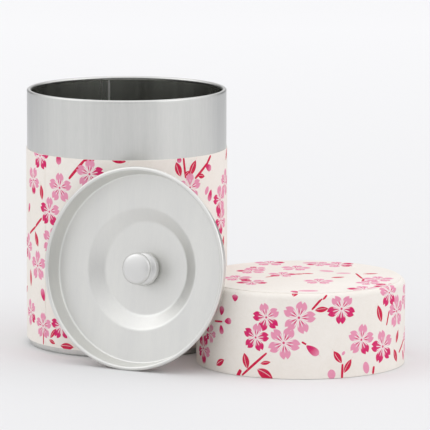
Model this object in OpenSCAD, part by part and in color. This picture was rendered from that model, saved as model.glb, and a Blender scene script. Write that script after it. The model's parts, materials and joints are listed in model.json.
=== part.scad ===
// Tinplate tea caddy: a can covered in printed washi paper, a push-in inner lid
// with a spool knob, and a paper-covered outer cap.
// The can stands open. The inner lid leans on its wall, knob side out, and the
// cap stands beside them on its open end.
// Origin: on the can's axis, in the plane it stands on. +Z is up, +X is to the right.

/* [Can] */
// Outer radius of the tin tube
can_r = 40; // [30:0.5:60]
// Height of the mouth bead's crest above the floor
can_h = 102.9; // [90:0.1:180]
// Bare neck left above the paper
neck_h = 23.7; // [20:0.1:26]
// Radius of the bead that is curled inwards at the mouth
bead_r = 0.8; // [0.7:0.05:1]
// Height of the bare foot band under the paper
foot_h = 2.4; // [2.2:0.1:4]
// Bearing of the lock seam inside the tube, from +X
lock_seam_deg = 104; // [0:1:360]
// Bearing of the paper's glued lap, from +X
lap_deg = 218; // [0:1:360]

/* [Sheet] */
// Thickness of the tinplate
tin_t = 0.35; // [0.25:0.05:0.5]
// Thickness of the washi paper with its backing
paper_t = 0.33; // [0.2:0.01:0.4]

/* [Cap] */
// Height of the cap with its paper
cap_h = 33.7; // [30:0.1:40]
// Radial play between the neck and the cap's skirt
cap_play = 0.35; // [0.3:0.05:0.5]
// Radius of the shoulder between the cap's side and its top
shoulder_r = 1.7; // [1.5:0.1:3]
// Place of the cap's axis
cap_at = [69.6, -43.2];

/* [Inner lid] */
// Depth from the rim's crest to the flat of the pan
pan_depth = 7.3; // [6:0.1:10]
// Depth from the rim's crest to the dish in the middle
dish_depth = 10.8; // [9:0.1:14]
// Radius where the slope into the dish starts
slope_r = 24; // [20:0.5:30]
// Radius of the dish's flat floor
dish_r = 18.4; // [14:0.1:19]
// Turn of the lid's face away from the front, to the left
lid_turn = 27.9; // [20:0.1:30]
// Lean of the lid back from upright
lid_lean = 8.6; // [7:0.1:10]
// Place of the rim's centre, across and front to back
lid_at = [3.8, -61];

/* [Knob] */
// Largest radius of the knob's head
knob_head_r = 6.25; // [5:0.05:8]
// Largest radius of the knob's foot
knob_foot_r = 6.7; // [5:0.05:8]
// Height of the knob above the dish
knob_h = 9.4; // [8:0.1:9.6]

/* [Hidden] */
$fn = 96;

tin = "silver";
aluminium = "gainsboro";
washi = "mistyrose";

glue = 0.02;                            // film of glue between a paper and the tin
tube_in_r = can_r - tin_t;              // inner radius of the tube
foot_r = tube_in_r - 0.35;              // radius of the bare foot band
foot_curl = 0.8;                        // radius of the foot's rolled edges
foot_flat = 0.8;                        // width of the flat ring it stands on
plug_h = 3;                             // how far a pressed end goes up into its tube
plug_gap = 0.02;                        // play of a pressed end in its tube

cap_in_r = can_r + cap_play + 0.1;      // inner radius of the skirt
cap_r = cap_in_r + tin_t;               // outer radius of the skirt, bare
hem_h = 1.6;                            // height of the skirt's folded hem
hem_t = 0.25;                           // how far the hem stands in from the skirt
cap_top_z = cap_h - 2 * paper_t - glue; // upper face of the cap's tin top
band_top_z = cap_top_z - shoulder_r - 0.4;
turn_in_w = 6;                          // width of the side paper folded over onto the top

rim_r = can_r - 0.1;                    // outer radius of the lid's rim curl
curl_r = 0.85;                          // radius of the lid's rim curl
wall_top_r = rim_r - 2 * curl_r;        // inside of the lid's wall, at the curl
wall_foot_r = wall_top_r - 0.9;         // inside of the lid's wall, at the pan
pan_fillet = 0.8;                       // radius of the corner between wall and pan
rivet_r = 1.6;
washer_r = 4.5;
washer_t = 0.5;
curl_gap_deg = 60;                      // part of a curl that stays open

// The lid's rim stands on the floor, so its lean sets the height of its centre
lid_z = curl_r + curl_r * sin(lid_lean) + (rim_r - curl_r) * cos(lid_lean);

function unit(v) = v / norm(v);
function left_of(v) = [-v.y, v.x];
function arc(centre, r, from, to, steps) =
    [for (k = [0:steps]) let (a = from + (to - from) * k / steps) centre + r * [cos(a), sin(a)]];

// Point i of a path, moved t to the left of the path with mitred corners
function mitred(path, i, t) =
    let (before = i > 0 ? unit(path[i] - path[i - 1]) : unit(path[1] - path[0]),
         after = i < len(path) - 1 ? unit(path[i + 1] - path[i]) : before,
         n = unit(left_of(before) + left_of(after)))
    path[i] + n * t / (n * left_of(before));

// A bent sheet's section: its path, and the same path moved t to the left
function sheet(path, t) = concat(path, [for (i = [len(path) - 1:-1:0]) mitred(path, i, t)]);

// A sheet bent along a path and turned round the axis
module spun(path, t) {
    rotate_extrude() polygon(sheet(path, t));
}

module in_cap_place() {
    translate([cap_at.x, cap_at.y, 0]) children();
}

module in_lid_place() {
    translate([lid_at.x, lid_at.y, lid_z]) rotate([90 - lid_lean, 0, -lid_turn]) children();
}

// Rolled tube, its mouth curled inwards, with the lock seam standing in from its wall
module can_tube() {
    seam_deg = 5;
    color(tin) {
        spun(concat([[can_r, foot_h + 0.05]],
                    arc([can_r - bead_r, can_h - bead_r], bead_r, 0, 360 - curl_gap_deg, 14)), tin_t);
        rotate([0, 0, lock_seam_deg - seam_deg / 2])
            rotate_extrude(angle = seam_deg)
                translate([tube_in_r - 2 * tin_t, foot_h + plug_h + 0.6])
                    square([2.5 * tin_t, can_h - foot_h - plug_h - 0.6 - 4 * bead_r]);
    }
}

// Pressed end: a recessed panel, a rolled foot and a flange that plugs into the tube
module can_bottom() {
    panel_z = foot_curl + 0.9;
    inner_r = foot_r - 2 * foot_curl - foot_flat;
    color(tin)
        spun(concat([[tube_in_r - plug_gap, foot_h + plug_h], [tube_in_r - plug_gap, foot_h],
                     [foot_r, foot_h - 0.1]],
                    arc([foot_r - foot_curl, foot_curl], foot_curl, 0, -90, 6),
                    arc([inner_r + foot_curl, foot_curl], foot_curl, -90, -180, 6),
                    [[inner_r, panel_z], [0, panel_z]]), -tin_t);
}

// Paper wrapped once round the tube, with its end glued over its start
module can_washi() {
    lap_w_deg = 11;
    color(washi) {
        difference() {
            translate([0, 0, foot_h + 0.1]) cylinder(r = can_r + paper_t, h = can_h - neck_h - foot_h - 0.1);
            cylinder(r = can_r + glue, h = can_h);
        }
        rotate([0, 0, lap_deg - lap_w_deg])
            rotate_extrude(angle = lap_w_deg)
                translate([can_r + paper_t / 2, foot_h + 0.1])
                    square([paper_t, can_h - neck_h - foot_h - 0.1]);
    }
}

// Rolled skirt with a hem folded inwards, which holds on the neck
module cap_band() {
    color(tin) in_cap_place()
        rotate_extrude()
            polygon([[cap_r, 0], [cap_r, band_top_z], [cap_in_r, band_top_z],
                     [cap_in_r, hem_h], [cap_in_r - hem_t, hem_h], [cap_in_r - hem_t, 0]]);
}

// Pressed top: a flat disc, a rounded shoulder and a flange that plugs into the skirt
module cap_top() {
    flange_r = cap_in_r - plug_gap;
    color(tin) in_cap_place()
        spun(concat([[flange_r, band_top_z - plug_h], [flange_r, band_top_z + 0.05], [cap_r, band_top_z + 0.1]],
                    arc([cap_r - shoulder_r, cap_top_z - shoulder_r], shoulder_r, 0, 90, 8),
                    [[0, cap_top_z]]), tin_t);
}

// Side paper, carried over the shoulder and turned in on the top
module cap_side_washi() {
    r = cap_r + glue;
    z = cap_top_z + glue;
    color(washi) in_cap_place()
        spun(concat([[r, 0.15]],
                    arc([r - shoulder_r, z - shoulder_r], shoulder_r, 0, 90, 8),
                    [[r - shoulder_r - turn_in_w, z]]), -paper_t);
}

// Disc of paper that covers the turned-in edge
module cap_top_washi() {
    r = cap_r - shoulder_r + 0.2;
    color(washi) in_cap_place()
        translate([0, 0, cap_h - paper_t]) cylinder(r = r, h = paper_t);
}

// Pressed pan: rim curl, plug wall, flat, slope and dish, pierced for the rivet
module lid_pan() {
    corner = [wall_foot_r - pan_fillet, -pan_depth + pan_fillet];
    color(tin) in_lid_place()
        spun(concat(arc([rim_r - curl_r, -curl_r], curl_r, curl_gap_deg - 120, 180, 12),
                    arc(corner, pan_fillet, 0, -90, 5),
                    [[slope_r, -pan_depth], [dish_r, -dish_depth], [rivet_r + 0.05, -dish_depth]]), tin_t);
}

// Spool knob: a rounded foot, a waist and a domed head, bored for the rivet
module knob() {
    foot_z = 2.1;
    waist_z = 5;
    head_z = 7.6;
    head_edge = 0.9;
    section = concat([[rivet_r, 0], [knob_foot_r - 1.9, 0]],
        arc([knob_foot_r - 1.6, foot_z], 1.6, -65, 70, 8),
        [[4.3, waist_z - 0.6], [4.1, waist_z], [4.4, waist_z + 0.8]],
        arc([knob_head_r - head_edge, head_z], head_edge, -80, 60, 8),
        [for (k = [1:7]) let (a = 90 * k / 7)
            [(knob_head_r - head_edge / 2) * cos(a), head_z + 0.78 + (knob_h - head_z - 0.78) * sin(a)]],
        [[0, 6.6], [rivet_r, 6.6]]);
    color(aluminium) in_lid_place() translate([0, 0, -dish_depth]) rotate_extrude() polygon(section);
}

// Rivet through the dish, its shank in the knob and its set head beneath
module knob_rivet() {
    shank = 5.2;
    head_h = 1.1;
    below = -dish_depth - tin_t - washer_t;
    color(aluminium) in_lid_place() {
        translate([0, 0, below - 0.05]) cylinder(r = rivet_r - 0.02, h = shank + tin_t + washer_t);
        translate([0, 0, below - head_h]) cylinder(r1 = rivet_r, r2 = 1.8 * rivet_r, h = head_h);
    }
}

// Washer that spreads the rivet's pull under the thin pan
module rivet_washer() {
    color(tin) in_lid_place()
        translate([0, 0, -dish_depth - tin_t - washer_t])
            difference() {
                cylinder(r = washer_r, h = washer_t);
                translate([0, 0, -1]) cylinder(r = rivet_r + 0.05, h = washer_t + 2);
            }
}

can_tube();
can_bottom();
can_washi();
cap_band();
cap_top();
cap_side_washi();
cap_top_washi();
lid_pan();
knob();
knob_rivet();
rivet_washer();
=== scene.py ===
import bpy
import json
import math
import numpy as np
from mathutils import Matrix, Vector


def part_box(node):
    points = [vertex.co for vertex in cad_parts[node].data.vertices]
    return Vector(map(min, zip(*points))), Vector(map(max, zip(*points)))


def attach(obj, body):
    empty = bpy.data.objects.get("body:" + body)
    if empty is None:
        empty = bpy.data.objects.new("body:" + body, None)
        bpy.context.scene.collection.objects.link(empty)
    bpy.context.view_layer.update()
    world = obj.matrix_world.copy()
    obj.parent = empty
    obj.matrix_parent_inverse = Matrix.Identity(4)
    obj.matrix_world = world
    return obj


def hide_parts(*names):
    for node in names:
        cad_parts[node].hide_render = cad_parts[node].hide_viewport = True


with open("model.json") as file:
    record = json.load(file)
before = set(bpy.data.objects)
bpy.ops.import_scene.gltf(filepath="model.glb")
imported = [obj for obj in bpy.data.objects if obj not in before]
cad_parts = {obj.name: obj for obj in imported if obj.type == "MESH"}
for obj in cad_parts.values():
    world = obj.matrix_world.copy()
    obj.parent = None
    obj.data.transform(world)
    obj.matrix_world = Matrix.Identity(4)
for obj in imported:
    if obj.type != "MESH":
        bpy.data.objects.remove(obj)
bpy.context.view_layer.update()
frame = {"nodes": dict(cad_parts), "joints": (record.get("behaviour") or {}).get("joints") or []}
scene = bpy.context.scene
mm = 0.001  # the frame is in metres, and sizes below are in millimetres unless they say otherwise
print("frame loaded:", len(frame["nodes"]), "nodes")


def linearColour(hexCode):  # sRGB hex to linear RGBA
    share = np.array([int(hexCode[i:i + 2], 16) for i in (1, 3, 5)]) / 255
    linear = np.where(share <= 0.04045, share / 12.92, ((share + 0.055) / 1.055) ** 2.4)
    return (*[float(x) for x in linear], 1.0)


def addNode(tree, kind, inputs=(), **settings):
    # One node with its settings, and its inputs set or linked. "Math ADD" is a Math node set to ADD.
    kind, _, operation = kind.partition(" ")
    if operation:
        settings["operation"] = operation
    node = tree.nodes.new(kind if kind.startswith("Node") else "ShaderNode" + kind)
    for name, value in settings.items():
        setattr(node, name, value)
    live = [s for s in node.inputs if s.enabled]
    for key, value in inputs.items() if isinstance(inputs, dict) else enumerate(inputs):
        socket = live[key] if isinstance(key, int) else next(s for s in live if s.name == key)
        if isinstance(value, bpy.types.Node):
            value = next(s for s in value.outputs if s.enabled)
        if isinstance(value, bpy.types.NodeSocket):
            tree.links.new(value, socket)
        else:
            socket.default_value = value
    return node


def newMaterial(name):  # an empty material, its tree and its output node
    material = bpy.data.materials.new(name)
    material.use_nodes = True
    material.node_tree.nodes.clear()
    return material, material.node_tree, addNode(material.node_tree, "OutputMaterial")


def arc(centre, radius, fromDeg, toDeg, steps):  # points (r, z) on a circle's arc
    turn = np.radians(np.linspace(fromDeg, toDeg, steps + 1))
    return np.stack([centre[0] + radius * np.cos(turn), centre[1] + radius * np.sin(turn)], 1)


def offsetPath(path, shift):  # the path moved to its left, with mitred corners
    step = np.diff(path, axis=0)
    step = step / np.linalg.norm(step, axis=1)[:, None]
    left = np.stack([-step[:, 1], step[:, 0]], 1)
    before, after = np.vstack([left[:1], left]), np.vstack([left, left[-1:]])
    mitre = before + after
    return path + shift * mitre / np.sum(mitre * before, axis=1)[:, None]


def lengthAlong(path):  # how far each point lies along the path
    return np.concatenate([[0], np.cumsum(np.linalg.norm(np.diff(path, axis=0), axis=1))])


def densePath(path, spacing):  # the same path with extra points, no further apart than the spacing
    along = lengthAlong(path)
    extra = np.linspace(0, along[-1], int(along[-1] / spacing) + 2)
    extra = extra[np.abs(extra[:, None] - along).min(axis=1) > 0.25 * spacing]
    stops = np.unique(np.concatenate([along, extra]))
    return np.stack([np.interp(stops, along, path[:, k]) for k in (0, 1)], 1)


def sheetSection(path, thickness):  # closed section of a bent sheet: the path, then its offset in reverse
    section = np.vstack([path, offsetPath(path, thickness)[::-1]])
    onAxis = np.flatnonzero(section[:, 0] < 1e-6)
    if len(onAxis):
        section = np.roll(section, -onAxis[-1], axis=0)  # starts and ends on the axis
    r, z = section.T
    area = np.sum(r * np.roll(z, -1) - np.roll(r, -1) * z)
    return section if area > 0 else section[::-1]  # counter-clockwise, so faces point outwards


def bearings(extra=(), count=256):  # angles round the axis in radians, with extra ones given in degrees
    even = np.arange(count) * 360 / count
    return np.unique(np.round(np.concatenate([even, np.mod(extra, 360)]), 4)) * math.pi / 180


def degreesFrom(around, bearing):  # signed angles from a bearing, from -180 to 180
    return np.degrees((around - math.radians(bearing) + math.pi) % math.tau - math.pi)


def ringMesh(name, rings, place=Matrix(), sharpDeg=38):
    # rings[i, j] is point j round ring i in mm. Ring i joins ring i + 1 in quads, the last joins the first,
    # and a ring of no width is one pole point, fanned to its neighbour.
    isPole = np.ptp(rings, axis=1).max(axis=1) < 1e-6
    order = np.arange(rings.shape[1])
    counts = np.where(isPole, 1, len(order))
    starts = np.concatenate([[0], np.cumsum(counts)[:-1]])
    index = starts[:, None] + np.where(isPole[:, None], 0, order)
    points = rings[order < counts[:, None]]
    a, d = index, np.roll(index, -1, axis=0)
    b, c = np.roll(a, -1, axis=1), np.roll(d, -1, axis=1)
    endPole = np.roll(isPole, -1)
    plain = ~isPole & ~endPole
    faces = np.stack([a, b, c, d], -1)[plain].reshape(-1, 4).tolist()
    faces += np.stack([a, c, d], -1)[isPole & ~endPole].reshape(-1, 3).tolist()
    faces += np.stack([a, b, c], -1)[~isPole & endPole].reshape(-1, 3).tolist()
    mesh = bpy.data.meshes.new(name)
    mesh.from_pydata((points * mm).tolist(), [], faces)
    mesh.transform(place)
    mesh.polygons.foreach_set("use_smooth", np.ones(len(faces), bool))
    mesh.set_sharp_from_angle(angle=math.radians(sharpDeg))
    mesh.validate()
    piece = bpy.data.objects.new(name, mesh)
    scene.collection.objects.link(piece)
    return piece


def turnedRings(section, around):  # each (r, z) of the section carried round the axis
    flat = np.stack([np.cos(around), np.sin(around)], 1)
    rings = section[:, None, :1] * flat
    height = np.broadcast_to(section[:, 1][:, None, None], rings.shape[:2] + (1,))
    return np.concatenate([rings, height], -1)


def finishPiece(piece, body, nodeName, material):
    piece.data.materials.append(material)
    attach(piece, body)
    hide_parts(nodeName)


# where the CAD puts things
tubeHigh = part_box("can_tube")[1]
canRadius, mouthHeight = tubeHigh.x / mm, tubeHigh.z / mm
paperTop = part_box("can_washi")[1].z / mm
bandLow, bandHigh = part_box("cap_band")
capRadius = (bandHigh.x - bandLow.x) / 2 / mm
capCentre = ((bandLow + bandHigh) / 2).xy
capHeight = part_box("cap_top_washi")[1].z / mm
capPlace = Matrix.Translation((capCentre.x, capCentre.y, 0))
lidAxis = Vector(next(j["axis"] for j in frame["joints"] if j["name"] == "lid_draw")).normalized()
sheet = {"tin": 0.35, "paper": 0.33, "glue": 0.02}  # thicknesses

studio = {  # places and fades in metres
    "cameraAt": (0.0526, -1.9881, 0.3546),
    "yawDeg": -0.495,
    "pitchDeg": 8.668,  # below the horizon
    "rollDeg": 0.054,
    "lens": 418.7,
    "sensorWide": 36,
    "floorHalf": 9,
    "floorTone": "#E9E9E9",
    "floorFarPaintedLight": "#F8F8F8",  # painted light: the sweep gets paler towards the back
    "farFade": (0.1, 1.1),
    "floorCornersPaintedShade": "#C4C5C8",  # painted shade: greyer in the two far corners
    "asideFade": (0.17, 0.45),
    "cornerFade": (0.1, 0.6),
    "skyTone": "#FDFDFF",
    "skyFront": 0.47,  # brightness level with the eye, in front
    "skyBehind": 0.62,  # straight behind
    "skyCorners": 0.02,  # in the far corners
    "skySides": 0.34,  # more at the sides
    "skyTop": 0.52,  # and more overhead
    "lampsFace": (0.03, 0, 0.05),
    "lamps": [  # name, place, size, power
        ("boxLeft", (-1.3, -0.2, 1.0), 0.9, 1.5),
        ("boxRight", (1.3, -0.7, 0.7), 0.9, 2.0),
        ("boxTop", (0.05, 0.0, 1.6), 1.6, 1.65),
    ],
}


def buildCamera():
    yaw, pitch, roll = (math.radians(studio[k]) for k in ("yawDeg", "pitchDeg", "rollDeg"))
    ahead = Vector((math.sin(yaw) * math.cos(pitch), math.cos(yaw) * math.cos(pitch), -math.sin(pitch)))
    right = Vector((math.cos(yaw), -math.sin(yaw), 0))
    right = right * math.cos(roll) + right.cross(ahead) * math.sin(roll)
    camera = bpy.data.objects.new("camera", bpy.data.cameras.new("camera"))
    camera.matrix_world = Matrix((right, right.cross(ahead), -ahead)).transposed().to_4x4()
    camera.location = studio["cameraAt"]
    camera.data.lens = studio["lens"]
    camera.data.sensor_width = studio["sensorWide"]
    camera.data.clip_end = 50
    scene.collection.objects.link(camera)
    scene.camera = camera
    print("camera ready")


def buildFloor():
    # Paper sweep: flat white without gloss, with painted light that makes it paler far back and painted
    # shade that makes it greyer in its far corners.
    half = studio["floorHalf"]
    mesh = bpy.data.meshes.new("floor")
    corners = [(-half, -half, 0), (half, -half, 0), (half, half, 0), (-half, half, 0)]
    mesh.from_pydata(corners, [], [(0, 1, 2, 3)])
    floor = bpy.data.objects.new("floor", mesh)
    scene.collection.objects.link(floor)
    material, tree, output = newMaterial("matte white paper sweep, painted light and shade")
    x, y, z = addNode(tree, "SeparateXYZ", [addNode(tree, "TexCoord").outputs["Object"]]).outputs
    # painted light: paler towards the back
    far = addNode(tree, "MapRange", [y, *studio["farFade"], 0.0, 1.0])
    tone = addNode(tree, "Mix", [far, linearColour(studio["floorTone"]), linearColour(studio["floorFarPaintedLight"])],
                   data_type="RGBA")
    # painted shade: greyer in the two far corners
    aside = addNode(tree, "MapRange", [addNode(tree, "Math ABSOLUTE", [x]), *studio["asideFade"], 0.0, 1.0])
    inCorner = addNode(tree, "MapRange", [y, *studio["cornerFade"], 0.0, aside])
    tone = addNode(tree, "Mix", [inCorner, tone, linearColour(studio["floorCornersPaintedShade"])], data_type="RGBA")
    base = addNode(tree, "BsdfPrincipled", {"Base Color": tone, "Roughness": 0.9, "Specular IOR Level": 0.1})
    tree.links.new(base.outputs[0], output.inputs[0])
    mesh.materials.append(material)
    print("floor ready")


def buildLight():
    # The room's walls, by direction: brighter at the sides, overhead and straight behind than in front,
    # and dark in the far corners. Large soft boxes give even light with hardly any shadow edge.
    world = bpy.data.worlds.new("studio")
    scene.world = world
    world.use_nodes = True
    tree = world.node_tree
    x, y, z = addNode(tree, "SeparateXYZ", [addNode(tree, "TexCoord").outputs["Generated"]]).outputs
    aside = addNode(tree, "Math ABSOLUTE", [x])
    sides = addNode(tree, "MapRange", [aside, 0.15, 0.85, 0.0, studio["skySides"]],
                    interpolation_type="SMOOTHSTEP")
    top = addNode(tree, "MapRange", [z, 0.0, 0.85, 0.0, studio["skyTop"]], interpolation_type="SMOOTHSTEP")
    near = addNode(tree, "MapRange", [y, 0.35, 0.85, 1.0, 0.0], interpolation_type="SMOOTHSTEP")
    behind = addNode(tree, "MapRange", [aside, 0.2, 0.5, studio["skyBehind"], studio["skyCorners"]])
    level = addNode(tree, "MapRange", [near, 0.0, 1.0, behind, studio["skyFront"]])
    sides = addNode(tree, "Math MULTIPLY", [sides, near])
    power = addNode(tree, "Math ADD", [addNode(tree, "Math ADD", [sides, top]), level])
    backdrop = tree.nodes["Background"]
    backdrop.inputs["Color"].default_value = linearColour(studio["skyTone"])
    tree.links.new(power.outputs[0], backdrop.inputs["Strength"])
    for name, place, size, watts in studio["lamps"]:
        lamp = bpy.data.lights.new(name, "AREA")
        lamp.size = size
        lamp.energy = watts
        holder = bpy.data.objects.new(name, lamp)
        holder.location = place
        aim = Vector(studio["lampsFace"]) - Vector(place)
        holder.rotation_euler = aim.to_track_quat("-Z", "Y").to_euler()
        scene.collection.objects.link(holder)
    scene.view_settings.view_transform = "Standard"
    print("light ready")


buildCamera()
buildFloor()
buildLight()

tinFinish = {
    "pale": "#DEDEDB",
    "dark": "#D2D3D0",
    # painted shade: the inside's tones are darker than the outside's, for the shade inside the can
    "insidePale": "#BBBCB6",
    "insideDark": "#ACADA7",
    "lidPale": "#E6E6E2",
    "lidDark": "#E0E0DD",
    "roughness": 0.34,
    "insideRoughness": 0.24,
    "lidRoughness": 0.42,
    "washerRoughness": 0.36,
    "roughLess": 0.02,  # how far the roughness falls and rises over the surface
    "roughMore": 0.03,
    "streakWide": 6.0,  # mm across a streak, partly the rolled sheet's grain and partly painted reflection
    "streakLong": 200,
    "grain": 0.5,  # mm, the sheet's real grain is 0.1 and drawn coarser so that it shows
    "grainLong": 9,  # times as long as it is wide
    "grainShare": 0.35,  # how much the grain counts beside the streaks
    "spread": (0.45, 0.9),  # from the darkest streaks and grain to the palest
    "reliefDeep": 0.01,
}
flatSheet = (math.pi / 2, 0, 0)  # turns the streaks along a level disc


def tinplateMaterial(name, roughness, turn=(0, 0, 0), side=""):
    # Tinplate: cold rolled steel with a stone-finished tin coat. The rolling leaves long faint streaks
    # that blur its reflections into a soft satin sheen. The streaks also shift its tone, partly as that
    # grain and partly as painted reflection of the room.
    material, tree, output = newMaterial(name)
    where = addNode(tree, "TexCoord").outputs["Object"]
    wide, long = 1 / (tinFinish["streakWide"] * mm), 1 / (tinFinish["streakLong"] * mm)
    grain = 1 / (tinFinish["grain"] * mm)
    streakPlace = addNode(tree, "Mapping", {"Vector": where, "Rotation": turn, "Scale": (wide, wide, long)})
    streak = addNode(tree, "TexNoise", {"Vector": streakPlace, "Scale": 1.0, "Detail": 3.0,
                                        "Roughness": 0.6})
    grainPlace = addNode(tree, "Mapping", {"Vector": where, "Rotation": turn,
                                           "Scale": (grain, grain, grain / tinFinish["grainLong"])})
    fine = addNode(tree, "TexNoise", {"Vector": grainPlace, "Scale": 1.0, "Detail": 2.0})
    fineShare = addNode(tree, "Math MULTIPLY", [fine, tinFinish["grainShare"]])
    both = addNode(tree, "Math ADD", [fineShare, streak])
    share = addNode(tree, "MapRange", [both, *tinFinish["spread"], 0.0, 1.0])
    dark, pale = (side + "Dark", side + "Pale") if side else ("dark", "pale")
    # tone from dark to pale along the streaks and grain: partly real grain, partly painted reflection
    tone = addNode(tree, "Mix", [share, linearColour(tinFinish[dark]), linearColour(tinFinish[pale])],
                   data_type="RGBA")
    rough = addNode(tree, "MapRange", [both, *tinFinish["spread"], roughness - tinFinish["roughLess"],
                                       roughness + tinFinish["roughMore"]])
    relief = addNode(tree, "Bump", {"Strength": 0.12, "Distance": tinFinish["reliefDeep"] * mm,
                                    "Height": fine})
    base = addNode(tree, "BsdfPrincipled", {"Base Color": tone, "Metallic": 1.0, "Roughness": rough,
                                            "Normal": relief})
    tree.links.new(base.outputs[0], output.inputs[0])
    return material


aluminiumFinish = {
    "tone": "#E0E0DE",
    "roughness": 0.38,
    "roughLess": 0.05,
    "roughMore": 0.08,
    "latheLine": 0.5,  # mm, real lines are 0.1 apart and drawn coarser so that they show
    "tumbleGrain": 0.667,
    "reliefDeep": 0.03,
}


def aluminiumMaterial():
    # Aluminium turned on a lathe, then tumbled: pale and bright, with rings left by the tool that
    # run round the knob.
    material, tree, output = newMaterial("turned aluminium")
    where = addNode(tree, "TexCoord").outputs["Object"]
    along = addNode(tree, "VectorMath DOT_PRODUCT", [where, tuple(lidAxis)]).outputs["Value"]
    height = addNode(tree, "Math MULTIPLY", [along, 1 / (aluminiumFinish["latheLine"] * mm)])
    lines = addNode(tree, "TexNoise", {"W": height, "Scale": 1.0, "Detail": 2.0}, noise_dimensions="1D")
    grain = 1 / (aluminiumFinish["tumbleGrain"] * mm)
    fine = addNode(tree, "TexNoise", {"Vector": where, "Scale": grain, "Detail": 2.0})
    rough = addNode(tree, "MapRange", [fine, 0.3, 0.7,
                                       aluminiumFinish["roughness"] - aluminiumFinish["roughLess"],
                                       aluminiumFinish["roughness"] + aluminiumFinish["roughMore"]])
    relief = addNode(tree, "Bump", {"Strength": 0.3, "Distance": aluminiumFinish["reliefDeep"] * mm,
                                    "Height": lines})
    base = addNode(tree, "BsdfPrincipled", {"Base Color": linearColour(aluminiumFinish["tone"]),
                                            "Metallic": 1.0, "Roughness": rough, "Normal": relief})
    tree.links.new(base.outputs[0], output.inputs[0])
    return material


inks = {
    "paper": "#F7F2EB",
    "paperShade": "#F1EBE2",
    "blush": "#EB97B5",  # the pale petals
    "blushDeep": "#DF6F98",
    "magenta": "#D81868",
    "crimson": "#D20045",  # leaves and twigs
    "white": "#F6EDEC",
}
strokeKinds = {  # code, ink and the power that shapes its half width
    "leaf": (1, "crimson", 1.0),
    "bud": (2, "magenta", 0.6),
    "twig": (3, "crimson", 0.15),
    "petal": (4, "blush", 0.55),
}
blossomForm = {  # lengths in blossom radii, each pair a fade from one to the other
    "petals": 5,
    "halfBase": 0.06,
    "halfWide": 0.33,
    "widest": 0.66,
    "tip": (0.60, 1.03),
    "tipRound": 2.2,
    "edge": (-0.012, 0.02),
    "notch": 0.82,
    "notchSlope": 1.5,
    "notchEdge": (-0.012, 0.03),
    "paleFade": (0.15, 0.6),
    "deepFade": (0.2, 0.62),
    "stamens": 15,
    "stamenEdge": (0.014, 0.036),
    "stamenEnd": (0.50, 0.60),
    "veinEdge": (0.022, 0.05),
    "veinEnd": (0.36, 0.48),
    "heart": (0.05, 0.10),
}


def newPrintGroup(name):  # an empty group, its tree, and the x, y and code that it is given
    tree = bpy.data.node_groups.new(name, "ShaderNodeTree")
    tree.interface.new_socket("Place", in_out="INPUT", socket_type="NodeSocketVector")
    tree.interface.new_socket("Colour", in_out="OUTPUT", socket_type="NodeSocketColor")
    tree.interface.new_socket("Cover", in_out="OUTPUT", socket_type="NodeSocketFloat")
    entry = addNode(tree, "NodeGroupInput")
    return (tree, *addNode(tree, "SeparateXYZ", [entry.outputs[0]]).outputs)


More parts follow.
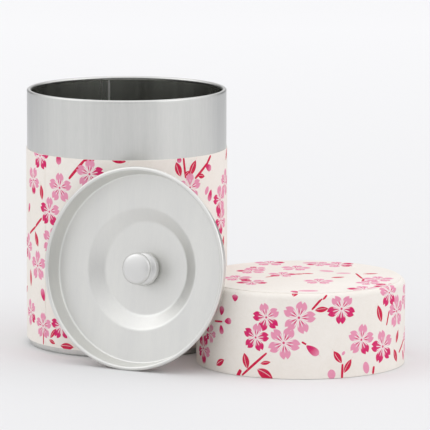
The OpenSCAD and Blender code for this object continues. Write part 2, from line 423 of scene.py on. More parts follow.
def blossomGroup():
    # Five petals round a centre. In: x and y in blossom radii, z is 32 plus one bit for each petal
    # in magenta, or 0 where there is no blossom. Out: the ink's colour and how much it covers.
    tree, x, y, code = newPrintGroup("printed blossom")
    form = blossomForm
    span = addNode(tree, "Math ADD", [addNode(tree, "Math MULTIPLY", [x, x]),
                                      addNode(tree, "Math MULTIPLY", [y, y])])
    radius = addNode(tree, "Math POWER", [span, 0.5])
    angle = addNode(tree, "Math ARCTAN2", [y, x])
    share = addNode(tree, "Math MULTIPLY", [angle, form["petals"] / math.tau])
    petal = addNode(tree, "Math ROUND", [share])
    off = addNode(tree, "Math MULTIPLY", [addNode(tree, "Math SUBTRACT", [share, petal]),
                                          math.tau / form["petals"]])
    along = addNode(tree, "Math MULTIPLY", [radius, addNode(tree, "Math COSINE", [off])])
    side = addNode(tree, "Math MULTIPLY", [radius, addNode(tree, "Math SINE", [off])])
    side = addNode(tree, "Math ABSOLUTE", [side])
    # half width of a petal: widest two thirds of the way out, narrow at the base, round at the tip
    rise = addNode(tree, "MapRange", [along, 0.0, form["widest"], form["halfBase"], form["halfWide"]],
                   interpolation_type="SMOOTHSTEP")
    fall = addNode(tree, "MapRange", [along, *form["tip"], 0.0, 1.0])
    fall = addNode(tree, "Math POWER", [fall, form["tipRound"]])
    halfWidth = addNode(tree, "Math MULTIPLY", [rise, addNode(tree, "Math SUBTRACT", [1.0, fall])])
    inside = addNode(tree, "Math SUBTRACT", [halfWidth, side])
    inside = addNode(tree, "MapRange", [inside, *form["edge"], 0.0, 1.0])
    notch = addNode(tree, "Math MULTIPLY", [side, form["notchSlope"]])
    notch = addNode(tree, "Math ADD", [notch, form["notch"]])
    below = addNode(tree, "Math SUBTRACT", [notch, along])
    below = addNode(tree, "MapRange", [below, *form["notchEdge"], 0.0, 1.0])
    there = addNode(tree, "Math GREATER_THAN", [code, 0.5])
    cover = addNode(tree, "Math MULTIPLY", [addNode(tree, "Math MULTIPLY", [inside, below]), there])
    # is this petal's bit set
    number = addNode(tree, "Math FLOORED_MODULO", [petal, float(form["petals"])])
    weight = addNode(tree, "Math POWER", [2.0, number])
    shifted = addNode(tree, "Math DIVIDE", [addNode(tree, "Math ADD", [code, 0.01]), weight])
    bit = addNode(tree, "Math FLOORED_MODULO", [addNode(tree, "Math FLOOR", [shifted]), 2.0])
    isDark = addNode(tree, "Math GREATER_THAN", [bit, 0.5])
    # a pale petal deepens a little towards its base, and a magenta one pales towards it
    blush, blushDeep, magenta = (linearColour(inks[k]) for k in ("blush", "blushDeep", "magenta"))
    fade = addNode(tree, "MapRange", [radius, *form["paleFade"], 0.75, 0.0])
    pale = addNode(tree, "Mix", [fade, blush, blushDeep], data_type="RGBA")
    fade = addNode(tree, "MapRange", [radius, *form["deepFade"], 0.3, 1.0])
    deep = addNode(tree, "Mix", [fade, blushDeep, magenta], data_type="RGBA")
    colour = addNode(tree, "Mix", [isDark, pale, deep], data_type="RGBA")
    # white stamens spread from the centre, with deep pink veins half way between them
    halfStep = math.pi / form["stamens"]
    swing = addNode(tree, "Math PINGPONG", [off, halfStep])
    between = addNode(tree, "Math MULTIPLY", [addNode(tree, "Math SUBTRACT", [halfStep, swing]), radius])
    line = addNode(tree, "MapRange", [between, *form["veinEdge"], 0.9, 0.0])
    end = addNode(tree, "MapRange", [radius, *form["veinEnd"], 1.0, 0.0])
    colour = addNode(tree, "Mix", [addNode(tree, "Math MULTIPLY", [line, end]), colour, magenta],
                     data_type="RGBA")
    line = addNode(tree, "Math MULTIPLY", [swing, radius])
    line = addNode(tree, "MapRange", [line, *form["stamenEdge"], 1.0, 0.0])
    end = addNode(tree, "MapRange", [radius, *form["stamenEnd"], 1.0, 0.0])
    colour = addNode(tree, "Mix", [addNode(tree, "Math MULTIPLY", [line, end]), colour,
                                   linearColour(inks["white"])], data_type="RGBA")
    heart = addNode(tree, "MapRange", [radius, *form["heart"], 1.0, 0.0])
    colour = addNode(tree, "Mix", [heart, colour, magenta], data_type="RGBA")
    addNode(tree, "NodeGroupOutput", [colour, cover])
    return tree


def strokeGroup():
    # One pointed or rounded stroke. In: x along it and y across it, -1 to 1, z is its kind's code.
    # Its half width is (1 - x*x) to its kind's power, so a leaf is pointed and a twig nearly even.
    tree, x, y, code = newPrintGroup("printed stroke")
    step = 0.125  # of the ramp for one code
    ramp = addNode(tree, "ValToRGB", [addNode(tree, "Math MULTIPLY", [code, step])])
    ramp.color_ramp.interpolation = "CONSTANT"
    ramp.color_ramp.elements[0].color = (0, 0, 0, 1)
    for kind, ink, power in strokeKinds.values():
        stop = ramp.color_ramp.elements.new((kind - 0.5) * step)
        stop.color = (*linearColour(inks[ink])[:3], power)
    there = addNode(tree, "Math GREATER_THAN", [code, 0.5])
    isLeaf, isBud = [addNode(tree, "Math COMPARE", [code, float(strokeKinds[kind][0]), 0.4])
                     for kind in ("leaf", "bud")]
    room = addNode(tree, "Math SUBTRACT", [1.0, addNode(tree, "Math MULTIPLY", [x, x])], use_clamp=True)
    halfWidth = addNode(tree, "Math POWER", [room, ramp.outputs["Alpha"]])
    # a bud is slimmer at its stalk
    taper = addNode(tree, "Math MULTIPLY", [addNode(tree, "Math MULTIPLY", [x, 0.35]), isBud])
    slim = addNode(tree, "Math SUBTRACT", [1.0, taper])
    across = addNode(tree, "Math MULTIPLY", [addNode(tree, "Math ABSOLUTE", [y]), slim])
    inside = addNode(tree, "Math SUBTRACT", [halfWidth, across])
    inside = addNode(tree, "MapRange", [inside, -0.06, 0.06, 0.0, 1.0])
    cover = addNode(tree, "Math MULTIPLY", [inside, there])
    # a leaf is split by a pale line, a little off its middle
    bend = addNode(tree, "Math SUBTRACT", [addNode(tree, "Math MULTIPLY", [room, 0.22]), y])
    split = addNode(tree, "MapRange", [addNode(tree, "Math ABSOLUTE", [bend]), 0.02, 0.10, 0.8, 0.0])
    short = addNode(tree, "MapRange", [x, 0.45, 0.75, 1.0, 0.0])
    line = addNode(tree, "Math MULTIPLY", [addNode(tree, "Math MULTIPLY", [split, short]), isLeaf])
    colour = addNode(tree, "Mix", [line, ramp.outputs["Color"], linearColour(inks["white"])],
                     data_type="RGBA")
    # a bud fades to pale pink at its tip
    tip = addNode(tree, "Math MULTIPLY", [addNode(tree, "MapRange", [x, -0.2, 0.9, 0.0, 0.85]), isBud])
    colour = addNode(tree, "Mix", [tip, colour, linearColour(inks["blush"])], data_type="RGBA")
    addNode(tree, "NodeGroupOutput", [colour, cover])
    return tree


printGroups = {"stroke": strokeGroup(), "blossom": blossomGroup()}
printLayers = {family: [family + level for level in ("Low", "Middle", "High")] for family in printGroups}
paperFinish = {  # mm, all drawn coarse enough to show: real fibres are 0.02 across
    "fibre": 3.846,
    "cloud": 22.2,
    "tooth": 0.714,
    "fibreDeep": 0.06,
    "toothDeep": 0.03,
    "roughness": 0.72,
    "gloss": 0.2,
    "sheen": 0.04,
}


def washiMaterial(name):
    # Washi: handmade mulberry paper, screen printed. Long soft fibres show in its ivory ground, its face
    # is matt with a slight tooth, and the ink lies thin, so that its colour is a little uneven.
    material, tree, output = newMaterial(name)
    where = addNode(tree, "TexCoord").outputs["Object"]
    scales = {k: 1 / (paperFinish[k] * mm) for k in ("fibre", "cloud", "tooth")}
    fibre = addNode(tree, "TexNoise", {"Vector": where, "Scale": scales["fibre"], "Detail": 5.0,
                                       "Roughness": 0.7, "Distortion": 2.5})
    cloud = addNode(tree, "TexNoise", {"Vector": where, "Scale": scales["cloud"], "Detail": 2.0})
    tooth = addNode(tree, "TexNoise", {"Vector": where, "Scale": scales["tooth"], "Detail": 3.0,
                                       "Roughness": 0.6})
    ground = addNode(tree, "MapRange", [addNode(tree, "Math ADD", [fibre, cloud]), 0.7, 1.3, 0.0, 1.0])
    colour = addNode(tree, "Mix", [ground, linearColour(inks["paper"]), linearColour(inks["paperShade"])],
                     data_type="RGBA")
    wash = addNode(tree, "MapRange", [tooth, 0.36, 0.6, 0.96, 1.0])
    for family, names in printLayers.items():
        for layer in names:
            place = addNode(tree, "Attribute", attribute_name=layer)
            group = addNode(tree, "Group", node_tree=printGroups[family])
            tree.links.new(place.outputs["Vector"], group.inputs[0])
            strength = addNode(tree, "Math MULTIPLY", [group.outputs[1], wash])
            colour = addNode(tree, "Mix", [strength, colour, group.outputs[0]], data_type="RGBA")
    relief = addNode(tree, "Bump", {"Strength": 0.5, "Distance": paperFinish["fibreDeep"] * mm,
                                    "Height": fibre})
    relief = addNode(tree, "Bump", {"Strength": 0.4, "Distance": paperFinish["toothDeep"] * mm,
                                    "Height": tooth, "Normal": relief})
    base = addNode(tree, "BsdfPrincipled", {"Base Color": colour, "Roughness": paperFinish["roughness"],
                                            "Normal": relief, "Specular IOR Level": paperFinish["gloss"],
                                            "Sheen Weight": paperFinish["sheen"]})
    tree.links.new(base.outputs[0], output.inputs[0])
    return material


def stampPrint(piece, corners, firstFace, layout, wrap=None):
    # corners[face, k] is corner k of a face on the print's own plane, in mm. Each motif gives the faces it
    # touches their corners' place in its own axes, with a code, on the layer where most of them are free.
    layers = {name: np.zeros((len(corners), 4, 3), np.float32)
              for names in printLayers.values() for name in names}
    middle = corners.mean(axis=1)
    margin = 0.75  # reach past a motif's edge, over half a cell
    for kind, *values in layout:
        isBlossom = kind == "blossom"
        if isBlossom:
            s, t, size, turnDeg, dark = values
            halfLong = halfWide = size
            code = 32 + sum(2 ** k for k in dark)
        else:
            s, t, halfLong, halfWide, turnDeg = values
            code = strokeKinds[kind][0]
        turn = math.radians(turnDeg)
        axes = np.array([[math.cos(turn), -math.sin(turn)], [math.sin(turn), math.cos(turn)]])
        for copy in [0] if wrap is None else [0, wrap / 2]:  # the print repeats every half turn
            centre = np.array([s + copy, t])
            shift = np.zeros((len(middle), 2))
            if wrap is not None:
                shift[:, 0] = wrap * np.round((middle[:, 0] - centre[0]) / wrap)
            local = (middle - centre - shift) @ axes
            if isBlossom:
                near = np.hypot(*local.T) < size * 1.02 + margin
            else:
                near = (np.abs(local) < np.array([halfLong, halfWide]) * 1.04 + margin).all(axis=1)
            family = printLayers["blossom" if isBlossom else "stroke"]
            chosen = layers[min(family, key=lambda n: np.count_nonzero(layers[n][near, 0, 2]))]
            picked = near & (chosen[:, 0, 2] == 0)
            spot = (corners[picked] - centre - shift[picked][:, None]) @ axes
            chosen[picked, :, 0] = spot[..., 0] / halfLong
            chosen[picked, :, 1] = spot[..., 1] / halfWide
            chosen[picked, :, 2] = code
    for name, values in layers.items():
        flat = np.zeros((len(piece.data.loops), 3), np.float32)
        flat[firstFace * 4:firstFace * 4 + len(corners) * 4] = values.reshape(-1, 3)
        piece.data.attributes.new(name, "FLOAT_VECTOR", "CORNER").data.foreach_set("vector", flat.ravel())


def faceCorners(s, t):  # grids s and t of points (row, column) to the four corners of each quad
    plane = np.stack([s, t], -1)
    return np.stack([plane[:-1, :-1], plane[:-1, 1:], plane[1:, 1:], plane[1:, :-1]], 2).reshape(-1, 4, 2)


def wrappedGrid(around, radius, along):  # arc length from the front and length up the side, in mm
    closed = np.concatenate([around, [around[0] + math.tau]])
    return np.meshgrid((closed + math.pi / 2) * radius, along)


# The print's motifs, with places and sizes in mm. On a side, a place is the way round from the front and
# the height, and on the cap's top it is across and front to back. A blossom has its place, size, turn and
# magenta petals. A stroke has its place, half length, half width and turn.
canPrint = [
    ("blossom", -28, 67, 6.3, 90, []),
    ("blossom", -34, 56.8, 6.2, 88, [1, 2, 3]),
    ("blossom", -14, 73.5, 6.2, 15, [0]),
    ("blossom", -40, 78.6, 6.2, 90, [2, 3, 4]),
    ("blossom", -46.5, 68, 6.0, 60, [3]),
    ("blossom", -42.3, 34, 6.4, 92, []),
    ("blossom", -32.4, 45, 6.2, 75, []),
    ("blossom", -38.3, 10.3, 5.6, 90, []),
    ("blossom", -27.5, 11.5, 5.8, 95, [1, 2, 3]),
    ("blossom", -54, 40, 6.0, 10, [2, 3]),
    ("blossom", -50, 14, 5.8, 40, [4]),
    ("blossom", 28, 67.2, 6.0, 90, []),
    ("blossom", 48.2, 60, 6.2, 100, [1, 2]),
    ("blossom", 49.4, 51.5, 6.2, 50, [1, 2, 3]),
    ("blossom", 55, 66, 6.0, 80, []),
    ("blossom", 50, 30, 6.2, 10, [0, 4]),
    ("blossom", 40, 20, 6.0, 40, []),
    ("blossom", 30, 34, 6.2, 75, [2]),
    ("blossom", 6, 60, 6.2, 15, [0, 1]),
    ("blossom", -8, 50, 6.0, 60, []),
    ("blossom", 14, 50, 6.2, 30, [3]),
    ("blossom", 0, 22, 6.2, 45, [2, 3]),
    ("blossom", -14, 14, 6.0, 5, []),
    ("blossom", 12, 12, 6.2, 80, [1]),
    ("blossom", -20, 32, 6.0, 25, [4]),
    ("twig", -19.7, 75, 5.4, 0.6, 48),
    ("twig", -14.2, 79, 2.2, 0.5, 5),
    ("twig", -47.7, 47.6, 3.8, 0.5, 28),
    ("twig", -41.6, 51.5, 3.4, 0.55, 38),
    ("leaf", -39, 64, 3.1, 1.3, 98),
    ("leaf", -43.3, 44.6, 3.3, 1.5, 116),
    ("leaf", -50, 28, 3.6, 1.2, 94),
    ("leaf", -24.6, 3.6, 3.3, 1.4, 0),
    ("leaf", -32, 8, 2.8, 0.9, 50),
    ("leaf", -32.6, 4.6, 1.9, 0.8, 340),
    ("twig", -38, 5.4, 2.6, 0.35, 90),
    ("bud", -28.5, 78.6, 2.4, 1.3, 270),
    ("bud", -38.2, 22.8, 2.6, 1.4, 110),
    ("bud", -52, 56, 2.2, 1.1, 60),
    ("leaf", -2.4, 79.3, 3.2, 1.2, 350),
    ("twig", 25.3, 75.3, 4.2, 0.5, 97),
    ("leaf", 22.4, 74.9, 3.2, 1.5, 110),
    ("leaf", 29.4, 74.8, 3.5, 1.5, 62),
    ("leaf", 26.5, 73, 1.6, 0.8, 35),
    ("bud", 22.8, 78.9, 1.5, 1.0, 270),
    ("twig", 38.9, 77.2, 2.1, 0.6, 50),
    ("twig", 34.3, 73.3, 4.6, 0.6, 37),
    ("leaf", 34.2, 71.2, 2.0, 1.0, 350),
    ("bud", 38.6, 74.2, 2.1, 1.3, 330),
    ("bud", 39.8, 62.8, 2.4, 1.3, 250),
    ("petal", 37.6, 65, 1.8, 1.1, 60),
    ("leaf", 52, 42, 3.0, 1.3, 70),
    ("leaf", 44, 42, 2.8, 1.2, 120),
    ("twig", 47, 38, 5.0, 0.6, 65),
    ("bud", 36, 50, 2.2, 1.2, 40),
    ("leaf", 32, 24, 3.2, 1.4, 20),
    ("twig", 24, 20, 6.0, 0.6, 40),
    ("leaf", 22, 26, 2.8, 1.2, 80),
    ("bud", 28, 10, 2.3, 1.2, 300),
    ("leaf", 50, 12, 3.0, 1.3, 140),
    ("twig", 45, 8, 5.0, 0.6, 150),
    ("leaf", -3, 40, 3.0, 1.3, 30),
    ("twig", -8, 36, 5.5, 0.6, 45),
    ("bud", 4, 34, 2.2, 1.2, 330),
    ("leaf", -22, 48, 3.0, 1.2, 100),
    ("leaf", 0, 71, 3.0, 1.2, 20),
    ("twig", 6, 71, 5.0, 0.6, 30),
    ("bud", 12, 68, 2.3, 1.2, 280),
    ("leaf", 8, 26, 2.6, 1.1, 100),
    ("twig", -2, 6, 5.0, 0.6, 20),
    ("leaf", 4, 4.5, 2.8, 1.2, 340),
    ("leaf", 58, 77, 3.0, 1.2, 50),
    ("leaf", -59, 22, 2.8, 1.2, 30),
]
capSidePrint = [
    ("blossom", -13.9, 24.0, 5.9, 104, [1, 2, 3]),
    ("blossom", -18.3, 15.8, 5.8, 80, [1, 2, 3, 4]),
    ("blossom", -1.0, 24.3, 6.8, 76, []),
    ("blossom", -6.9, 14.3, 6.8, 62, []),
    ("blossom", 15.9, 27.3, 6.3, 50, [2, 3, 4]),
    ("blossom", 24.8, 14.4, 6.5, 80, [3]),
    ("blossom", 36.4, 10.4, 6.9, 100, [1, 2, 3]),
    ("blossom", 47, 22.8, 6.9, 92, []),
    ("blossom", 40.6, 31.2, 6.2, 90, [2, 3]),
    ("blossom", -48.8, 7.6, 6.3, 60, [0, 1, 2, 3]),
    ("blossom", 62, 9, 6.2, 10, [0, 1]),
    ("blossom", 59, 27, 6.0, 50, []),
    ("blossom", -58, 22, 6.2, 30, [4]),
    ("blossom", -42.6, 14.5, 4.0, 70, [1, 2]),
    ("twig", -19, 5.2, 7.2, 0.5, 42),
    ("twig", -25.8, 1.0, 1.7, 0.8, 60),
    ("leaf", -22.6, 6.2, 3.2, 1.5, 104),
    ("leaf", -14.4, 1.7, 3.7, 1.9, 332),
    ("leaf", -14.2, 6.1, 2.2, 0.8, 12),
    ("leaf", 7.8, 27.4, 2.7, 1.1, 6),
    ("twig", 6, 29.6, 3.0, 0.45, 48),
    ("twig", 9.2, 32.4, 1.3, 0.4, 48),
    ("leaf", -2.7, 34.4, 1.7, 1.2, 75),
    ("petal", 3.5, 35.6, 2.9, 0.8, 3),
    ("leaf", 34.4, 23.6, 3.7, 1.5, 108),
    ("twig", 39.7, 21.2, 2.9, 0.45, 72),
    ("leaf", 14.4, 8.4, 3.0, 1.3, 124),
    ("leaf", 18.6, 4.6, 3.1, 1.2, 58),
    ("twig", 16.3, 2.6, 3.0, 0.5, 88),
    ("bud", 4.3, 11.5, 3.0, 1.5, 322),
    ("twig", 1.0, 14.3, 1.0, 0.4, 330),
    ("petal", 11.9, 1.8, 1.9, 1.6, 100),
    ("petal", 27.2, 3.2, 2.4, 1.5, 104),
    ("petal", 16.8, 9.8, 0.9, 0.6, 50),
    ("twig", 31, 1.8, 1.5, 0.6, 80),
    ("bud", -27.8, 30.6, 1.5, 1.4, 90),
    ("bud", -31.5, 20.9, 1.8, 1.2, 10),
    ("bud", -35.2, 17.1, 1.8, 1.2, 280),
    ("bud", -35.0, 24.6, 1.8, 1.3, 80),
    ("twig", -37, 20.1, 2.4, 0.4, 5),
    ("leaf", 46, 5.4, 3.1, 1.4, 118),
    ("leaf", 47.6, 12.7, 2.8, 1.1, 66),
    ("twig", 53, 8, 4.0, 0.55, 30),
    ("leaf", -50, 29, 3.0, 1.3, 20),
    ("twig", -52, 17, 4.0, 0.6, 60),
    ("leaf", -36, 4, 2.8, 1.3, 30),
    ("leaf", 66, 19, 2.8, 1.3, 80),
    ("bud", 56, 4, 2.3, 1.2, 300),
]
capTopPrint = [
    ("blossom", 57.4, -10.5, 6.6, 20, [0]),
    ("blossom", 67.7, -22.9, 6.4, 80, []),
    ("blossom", 52, -23.9, 4.5, 40, [1]),
    ("blossom", 50.1, -30.5, 6.3, 30, [2]),
    ("blossom", 62.2, -38.7, 6.0, 10, [0, 3]),
    ("blossom", 44.5, -47.5, 6.6, 100, [3]),
    ("blossom", 50.4, -57.4, 6.6, 50, [1, 2, 4]),
    ("blossom", 76.5, -55.1, 6.4, 15, []),
    ("blossom", 85, -14, 6.8, 30, [0, 4]),
    ("blossom", 77, -12.5, 5.4, 60, [2]),
    ("blossom", 100, -49.3, 6.6, 20, []),
    ("blossom", 94, -73, 7.2, 170, [0]),
    ("blossom", 103.5, -65, 6.4, 60, [1, 2, 3]),
    ("blossom", 96, -58, 5.4, 35, []),
    ("leaf", 68.8, -37.5, 2.6, 1.2, 20),
    ("twig", 58.5, -43.2, 3.5, 0.6, 40),
    ("petal", 74, -10, 3.4, 1.6, 0),
    ("leaf", 72.5, -36.2, 2.4, 1.1, 350),
    ("leaf", 84.2, -45.3, 3.0, 1.4, 20),
    ("petal", 86.6, -35.2, 3.0, 1.2, 0),
    ("twig", 92.6, -42, 6.4, 0.5, 100),
    ("twig", 94, -52, 4.0, 0.5, 85),
    ("leaf", 97.2, -36.4, 3.2, 1.2, 10),
    ("petal", 72.2, -77.6, 4.0, 1.6, 0),
    ("bud", 67, -79.8, 2.5, 1.3, 110),
    ("petal", 80, -30, 3.0, 1.6, 160),
]

washiPrinted = washiMaterial("printed washi")
print("print and paper ready")

can = {
    "beadRadius": 0.8,
    "beadEndDeg": 300,
    "footGap": 2.45,  # where the tube ends above the floor
    "seamDeg": 104,  # bearing of the lock seam
    "seamWideDeg": 5,
    "seamSideDeg": 0.15,  # how steeply its sides rise
    "seamHighlightDeg": 1.0,  # how far in the painted highlight on its edge reaches
    "seamStep": 0.35,
    "seamFrom": 6.0,
    "seamTo": 101.3,
    "grooveDeg": 0.4,  # fine line beside the seam, outside
    "grooveDeep": 0.1,
    "lapDeg": 218,  # bearing of the paper's upper edge
    "lapWideDeg": 11,
    "lapShare": 0.45,  # how far it stands out, in sheets
    "paperLow": 2.5,
    "cell": 1.0,  # size of the printed grid's cells
    "plugTop": 5.4,
    "plugGap": 0.02,
    "footStep": 0.35,
    "footCurl": 0.8,
    "footFlat": 0.8,
    "panelUp": 0.9,  # how far the panel lies above the foot's curl
    "panelRing": (22, 30),  # shallow ring pressed into the panel
}


def buildCanTube():
    # The sheet's section goes up the wall and round the mouth bead, and is carried round the axis.
    # Inside, the lock seam stands in by one sheet over a few degrees.
    low, high, half, rise = can["seamFrom"], can["seamTo"], can["seamWideDeg"] / 2, can["seamSideDeg"]
    bead = can["beadRadius"]
    path = np.vstack([
        [[canRadius, z] for z in (can["footGap"], low, low + 0.4, high - 0.4, high)],
        arc((canRadius - bead, mouthHeight - bead), bead, 0, can["beadEndDeg"], 24),
    ])
    section = sheetSection(path, sheet["tin"])
    groove = half + can["grooveDeg"]
    edges = np.array([-half - rise, -half, 0.25 - half, half - 0.25, half, half + rise, groove])
    around = bearings(can["seamDeg"] + edges)
    off = degreesFrom(around, can["seamDeg"])
    rings = turnedRings(section, around)
    inWall = np.abs(section[:, 0] - (canRadius - sheet["tin"])) < 0.01
    inSeam = inWall & (section[:, 1] > low + 0.2) & (section[:, 1] < high - 0.2)
    outWall = np.abs(section[:, 0] - canRadius) < 0.01
    step = can["seamStep"] * inSeam[:, None] * np.clip((half + rise - np.abs(off)) / rise, 0, 1)
    step = step + can["grooveDeep"] * outWall[:, None] * (np.abs(off - groove) < 0.05)
    rings[..., :2] *= (1 - step / section[:, :1])[..., None]
    piece = ringMesh("canTube", rings)
    finishPiece(piece, "can", "can_tube",
                tinplateMaterial("satin tinplate, tube", tinFinish["roughness"]))
    # second material: the same tinplate with darker tones inside the can, painted shade
    piece.data.materials.append(tinplateMaterial("bright tinplate, inside, painted shade", tinFinish["insideRoughness"],
                                                 side="inside"))
    middle = (section + np.roll(section, -1, axis=0)) / 2
    # faces inside the can, which get the painted shade
    inside = (middle[:, 0] < canRadius - 0.2) & (middle[:, 1] < mouthHeight - 2 * bead)
    # painted highlight: the seam's edges keep the outside's paler tone instead of the inside's painted shade
    seamHighlight = (off > -half - 0.01) & (off < can["seamHighlightDeg"] - half)
    seamHighlight |= (off > half - 0.01) & (off < half + 0.1)
    piece.data.polygons.foreach_set("material_index", (inside[:, None] & ~seamHighlight).astype(np.int32).ravel())
    print("canTube made")


def buildCanBottom():
    # Flange, rolled foot and recessed panel as one bent sheet round the axis.
    inner = canRadius - sheet["tin"]
    plug, foot, curl = inner - can["plugGap"], inner - can["footStep"], can["footCurl"]
    step = foot - 2 * curl - can["footFlat"]
    panel, (ringIn, ringOut) = curl + can["panelUp"], can["panelRing"]
    path = np.vstack([
        [[plug, can["plugTop"]], [plug, 2.4], [foot, 2.3]],
        arc((foot - curl, curl), curl, 0, -90, 8),
        arc((step + curl, curl), curl, -90, -180, 8),
        arc((step - 0.4, panel - 0.4), 0.4, 0, 90, 5),
        [[ringOut + 0.5, panel], [ringOut, panel - 0.2]],
        [[ringIn, panel - 0.2], [ringIn - 0.5, panel], [0, panel]],
    ])
    piece = ringMesh("canBottom", turnedRings(sheetSection(path, -sheet["tin"]), bearings()))
    finishPiece(piece, "can", "can_bottom",
                tinplateMaterial("satin tinplate, bottom", tinFinish["roughness"], flatSheet))
    print("canBottom made")


def buildCanWashi():
    # The paper's outer face is a grid of cells that carries the print. Over the lap it stands out by
    # half a sheet, with a soft rise on one side and the cut edge on the other.
    inner, outer, low, soft = canRadius + sheet["glue"], canRadius + sheet["paper"], can["paperLow"], 0.08
    face = densePath(np.array([[outer - soft, low], [outer, low + soft], [outer, paperTop - soft],
                               [outer - soft, paperTop]]), can["cell"])
    section = np.vstack([face, [[inner, paperTop], [inner, low]]])
    end, wide = can["lapDeg"], can["lapWideDeg"]
    around = bearings([end - wide, end - wide + 0.5, end - wide + 1, end - 0.05, end + 0.05])
    before = -degreesFrom(around, end)
    lift = np.clip(wide - before, 0, 1) * np.clip((before + 0.05) / 0.1, 0, 1)
    rings = turnedRings(section, around)
    rings[:len(face), :, :2] *= (1 + can["lapShare"] * sheet["paper"] * lift / face[:, :1])[..., None]
    piece = ringMesh("canWashi", rings)
    s, t = wrappedGrid(around, outer, lengthAlong(face) + low)
    stampPrint(piece, faceCorners(s, t), 0, canPrint, wrap=math.tau * outer)
    finishPiece(piece, "can", "can_washi", washiPrinted)
    print("canWashi made")


buildCanTube()
buildCanBottom()
buildCanWashi()

cap = {
    "shoulder": 1.7,
    "hemHigh": 1.6,
    "hemStep": 0.25,
    "hemRound": 0.3,
    "plug": 3,
    "plugGap": 0.02,
    "turnIn": 6,  # width of the side paper on the top
    "paperLow": 0.15,
    "foldHigh": 31.3,  # a faint crease runs under the shoulder
    "foldDeep": 0.06,
    "cell": 1.0,
    "topRings": 40,
}


def buildCapTin():
    # The skirt has its hem folded up inside and rounded at the bottom. The pressed top is a plug flange,
    # a shoulder and a disc in one bent sheet.
    inner = capRadius - sheet["tin"]
    topHeight = capHeight - 2 * sheet["paper"] - sheet["glue"]
    bandTop = topHeight - cap["shoulder"] - 0.4
    hemIn, hemHigh, rounding = inner - cap["hemStep"], cap["hemHigh"], cap["hemRound"]
    plug = inner - cap["plugGap"]
    band = np.vstack([
        arc((capRadius - rounding, rounding), rounding, -90, 0, 5),
        [[capRadius, bandTop], [inner, bandTop], [inner, hemHigh + 0.1]],
        [[hemIn + 0.08, hemHigh], [hemIn, hemHigh - 0.1]],
        arc((hemIn + rounding, rounding), rounding, 180, 270, 5)[:-1],
    ])
    finishPiece(ringMesh("capBand", turnedRings(band, bearings()), capPlace), "cap", "cap_band",
                tinplateMaterial("satin tinplate, skirt", tinFinish["roughness"]))
    path = np.vstack([
        [[plug, bandTop - cap["plug"]], [plug, bandTop + 0.05], [capRadius, bandTop + 0.1]],
        arc((capRadius - cap["shoulder"], topHeight - cap["shoulder"]), cap["shoulder"], 0, 90, 12),
        [[0, topHeight]],
    ])
    piece = ringMesh("capTop", turnedRings(sheetSection(path, sheet["tin"]), bearings()), capPlace)
    finishPiece(piece, "cap", "cap_top",
                tinplateMaterial("satin tinplate, top", tinFinish["roughness"], flatSheet))
    print("cap tin made: capBand, capTop")


def buildCapWashi():
    # The side paper goes over the shoulder onto the top, and a disc of paper covers its edge. The faces
    # that show are grids of cells with the print.
    paper, bend, fold, around = sheet["paper"], cap["shoulder"], cap["foldHigh"], bearings()
    r, z = capRadius + sheet["glue"], capHeight - 2 * paper
    path = np.vstack([
        [[r, cap["paperLow"]], [r, fold - 0.08], [r - cap["foldDeep"], fold]],
        arc((r - bend, z - bend), bend, 0, 90, 12) - [0.02, 0],
        [[r - bend - cap["turnIn"], z]],
    ])
    face = densePath(offsetPath(path, -paper), cap["cell"])
    piece = ringMesh("capSideWashi", turnedRings(np.vstack([face, path[::-1]]), around), capPlace)
    s, t = wrappedGrid(around, r + paper, lengthAlong(face) + cap["paperLow"])
    stampPrint(piece, faceCorners(s, t), 0, capSidePrint, wrap=math.tau * (r + paper))
    finishPiece(piece, "cap", "cap_side_washi", washiPrinted)

    edge, low = capRadius - bend + 0.2, capHeight - paper
    rim = np.array([[0, low], [edge, low], [edge, capHeight - 0.08]])
    rows = np.linspace(edge - 0.06, 1.0, cap["topRings"])
    section = np.vstack([rim, np.stack([rows, np.full(len(rows), capHeight)], 1), [[0, capHeight]]])
    piece = ringMesh("capTopWashi", turnedRings(section, around), capPlace)
    closed = np.concatenate([around, [around[0]]])
    x = rows[:, None] * np.cos(closed) + capCentre.x / mm
    y = rows[:, None] * np.sin(closed) + capCentre.y / mm
    stampPrint(piece, faceCorners(x, y), 2 * len(around), capTopPrint)
    finishPiece(piece, "cap", "cap_top_washi", washiPrinted)
    print("cap paper made: capSideWashi, capTopWashi")


buildCapTin()
buildCapWashi()

lid = {
    "rim": 39.9,
    "curl": 0.85,
    "taper": 0.9,  # how far the wall leans in
    "panDepth": 7.3,
    "dishDepth": 10.8,
    "slope": 24,
    "dish": 18.4,
    "fillet": 0.8,
    "ease": 2.6,  # radius of the slope's soft corners
    "rivet": 1.6,
    "washer": 4.5,
    "washerThick": 0.5,
}
knob = {
    "head": 6.25,
    "headEdge": 0.9,
    "headMiddle": 7.6,
    "crownFrom": 8.38,
    "high": 9.4,
    "foot": 6.7,
    "footRound": 1.6,
    "footMiddle": 2.1,
    "waist": 4.1,
    "waistFlare": 0.9,
    "waistFrom": 3.9,
    "waistTo": 6.3,
    "bore": 6.6,  # how deep the rivet goes in
}
washerLow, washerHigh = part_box("rivet_washer")
# from the washer's middle up to the rim's crest
lidUp = lid["dishDepth"] + sheet["tin"] + lid["washerThick"] / 2
across = Vector((0, 0, 1)).cross(lidAxis).normalized()
lidPlace = Matrix((across, lidAxis.cross(across), lidAxis)).transposed().to_4x4()
lidPlace.translation = (washerLow + washerHigh) / 2 + lidAxis * lidUp * mm


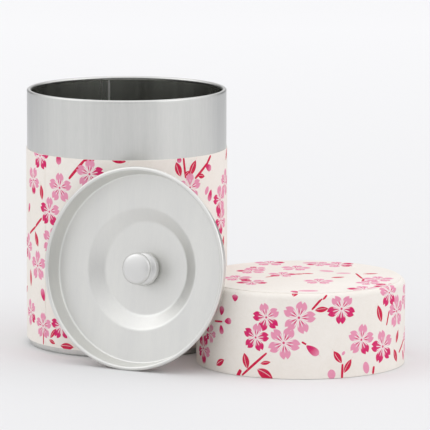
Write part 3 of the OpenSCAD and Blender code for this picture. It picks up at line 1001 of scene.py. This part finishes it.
def buildLidPan():
    # Rim curl, leaning wall, flat, slope and dish as one bent sheet round the lid's own axis.
    curl, rim, deep, floor = lid["curl"], lid["rim"], -lid["panDepth"], -lid["dishDepth"]
    corner = (rim - 2 * curl - lid["taper"] - lid["fillet"], deep + lid["fillet"])
    slopeDeg = math.degrees(math.atan2(deep - floor, lid["slope"] - lid["dish"]))
    ease = lid["ease"]
    reach = ease * math.tan(math.radians(slopeDeg / 2))
    path = np.vstack([
        arc((rim - curl, -curl), curl, -60, 180, 24),
        arc(corner, lid["fillet"], -10, -90, 8),
        arc((lid["slope"] + reach, deep - ease), ease, 90, 90 + slopeDeg, 6),
        arc((lid["dish"] - reach, floor + ease), ease, slopeDeg - 90, -90, 6),
        [[lid["rivet"] + 0.05, floor]],
    ])
    piece = ringMesh("lidPan", turnedRings(sheetSection(path, sheet["tin"]), bearings()), lidPlace)
    streakTurn = (math.pi / 2, 0, -lidPlace.to_euler().z)
    finishPiece(piece, "inner_lid", "lid_pan",
                tinplateMaterial("satin tinplate, lid", tinFinish["lidRoughness"], streakTurn, side="lid"))
    print("lidPan made")


def buildKnob():
    # Turned profiles round the lid's axis: a spool with a rounded foot, a waist that narrows as a
    # parabola and a domed head, then the rivet and washer that hold it under the dish.
    aluminium, floor, bore = aluminiumMaterial(), -lid["dishDepth"], lid["rivet"]
    head, foot, rounding = knob["head"], knob["foot"], knob["footRound"]
    high, crownFrom = knob["high"], knob["crownFrom"]
    dome = np.radians(np.linspace(12, 90, 14))
    crown = np.stack([(head - 0.45) * np.cos(dome), crownFrom + (high - crownFrom) * np.sin(dome)], 1)
    crown[-1, 0] = 0
    z = np.linspace(knob["waistFrom"], knob["waistTo"], 9)
    section = np.vstack([
        [[0, knob["bore"]], [bore, knob["bore"]], [bore, 0], [foot - 1.9, 0], [foot - 1.4, 0.3]],
        arc((foot - rounding, knob["footMiddle"]), rounding, -60, 62, 14),
        np.stack([knob["waist"] + knob["waistFlare"] * ((z - 5) / 1.3) ** 2, z], 1),
        arc((head - knob["headEdge"], knob["headMiddle"]), knob["headEdge"], -80, 50, 10),
        crown,
    ])
    section[:, 1] += floor
    piece = ringMesh("lidKnob", turnedRings(section, bearings(count=128)), lidPlace)
    finishPiece(piece, "inner_lid", "knob", aluminium)

    low, flare, shank = floor - sheet["tin"] - lid["washerThick"], 1.8 * bore, bore - 0.02
    section = np.array([
        [0, low - 1.1], [bore - 0.2, low - 1.1], [bore + 0.4, low - 0.9], [flare - 0.2, low - 0.3],
        [flare, low - 0.05], [flare - 0.1, low], [shank, low], [shank, low + 6], [0, low + 6],
    ])
    piece = ringMesh("knobRivet", turnedRings(section, bearings(count=96)), lidPlace)
    finishPiece(piece, "inner_lid", "knob_rivet", aluminium)

    hole, wide, top = bore + 0.05, lid["washer"], low + lid["washerThick"]
    section = np.array([
        [hole, low], [wide - 0.1, low], [wide, low + 0.1], [wide, top - 0.1], [wide - 0.1, top], [hole, top],
    ])
    piece = ringMesh("rivetWasher", turnedRings(section, bearings(count=96)), lidPlace)
    finishPiece(piece, "inner_lid", "rivet_washer",
                tinplateMaterial("satin tinplate, washer", tinFinish["washerRoughness"], flatSheet))
    print("knob made: lidKnob, knobRivet, rivetWasher")


buildLidPan()
buildKnob()
